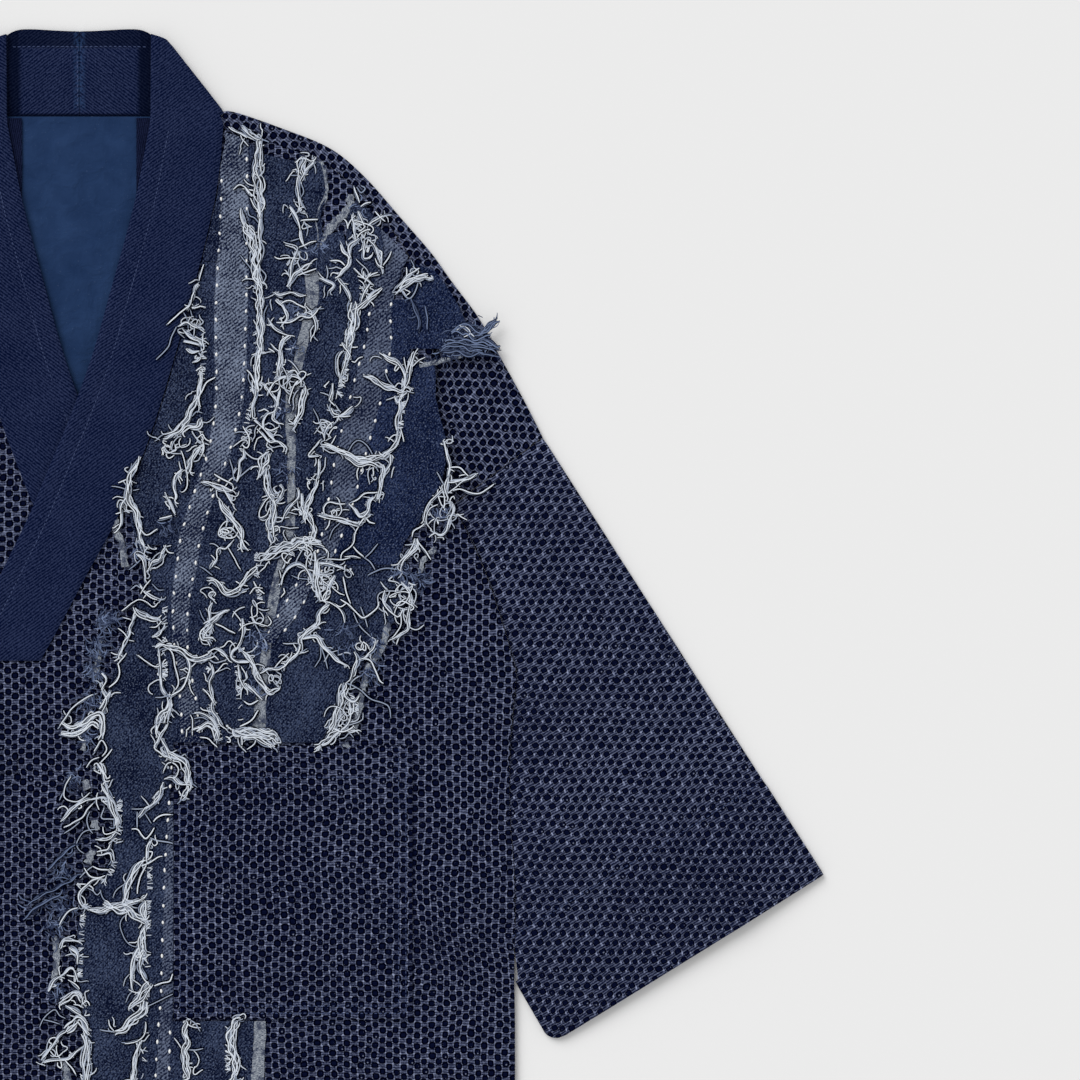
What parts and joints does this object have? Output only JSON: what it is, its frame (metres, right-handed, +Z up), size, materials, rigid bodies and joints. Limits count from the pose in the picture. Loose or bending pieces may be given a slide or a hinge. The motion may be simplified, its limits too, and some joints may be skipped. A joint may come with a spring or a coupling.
{
  "type": "patched boro jacket",
  "caption": "Patched boro jacket laid flat with its front up: honeycomb sashiko cloth, navy twill collar band, raw denim strips and white frays down the left front.",
  "frame": {"origin": "under the middle of the back, on the surface the jacket lies on, half way from the hem to the collar's top edge", "axes": "+Z up out of the jacket's front, +Y towards the collar, +X towards the wearer's left sleeve"},
  "size_m": [1.0398, 0.8397, 0.0136],
  "materials": {
    "sashiko": "matte honeycomb weave of navy and grey-blue cotton",
    "twill": "matte navy cotton twill",
    "lining": "smooth plain-woven blue cotton",
    "denim": "matte dark indigo denim, raw-edged",
    "light_denim": "matte faded denim",
    "ribbon": "pale back of torn denim",
    "thread": "loose white and indigo cotton threads"
  },
  "bodies": {
    "root": {"back_lining": "lining", "back_panel": "sashiko", "closure_knot": "sashiko", "closure_loop": "sashiko", "closure_tab": "sashiko", "collar_left": "twill", "collar_right": "twill", "denim_below_pocket": "denim", "denim_broad": "denim", "denim_collar_side": "denim", "denim_front_edge": "denim", "denim_front_edge_low": "denim", "denim_inner": "denim", "denim_inner_low": "denim", "denim_low": "denim", "denim_middle": "denim", "denim_outer": "denim", "denim_shoulder": "denim", "denim_shoulder_flap": "denim", "denim_slim": "denim", "denim_under_light": "denim", "fray_collar_side": "thread", "fray_flap": "thread", "fray_front_edge": "thread", "fray_inner": "thread", "fray_middle": "thread", "fray_outer": "thread", "fray_ribbon": "thread", "fray_shoulder": "thread", "fray_slim": "thread", "front_left": "sashiko", "front_right": "sashiko", "light_denim_long": "light_denim", "light_denim_low": "light_denim", "light_denim_shoulder": "light_denim", "pocket": "sashiko", "ribbon_long": "ribbon", "ribbon_low": "ribbon", "shoulder_left": "sashiko", "shoulder_right": "sashiko", "sleeve_left": "sashiko", "sleeve_right": "sashiko"}
  },
  "joints": []
}
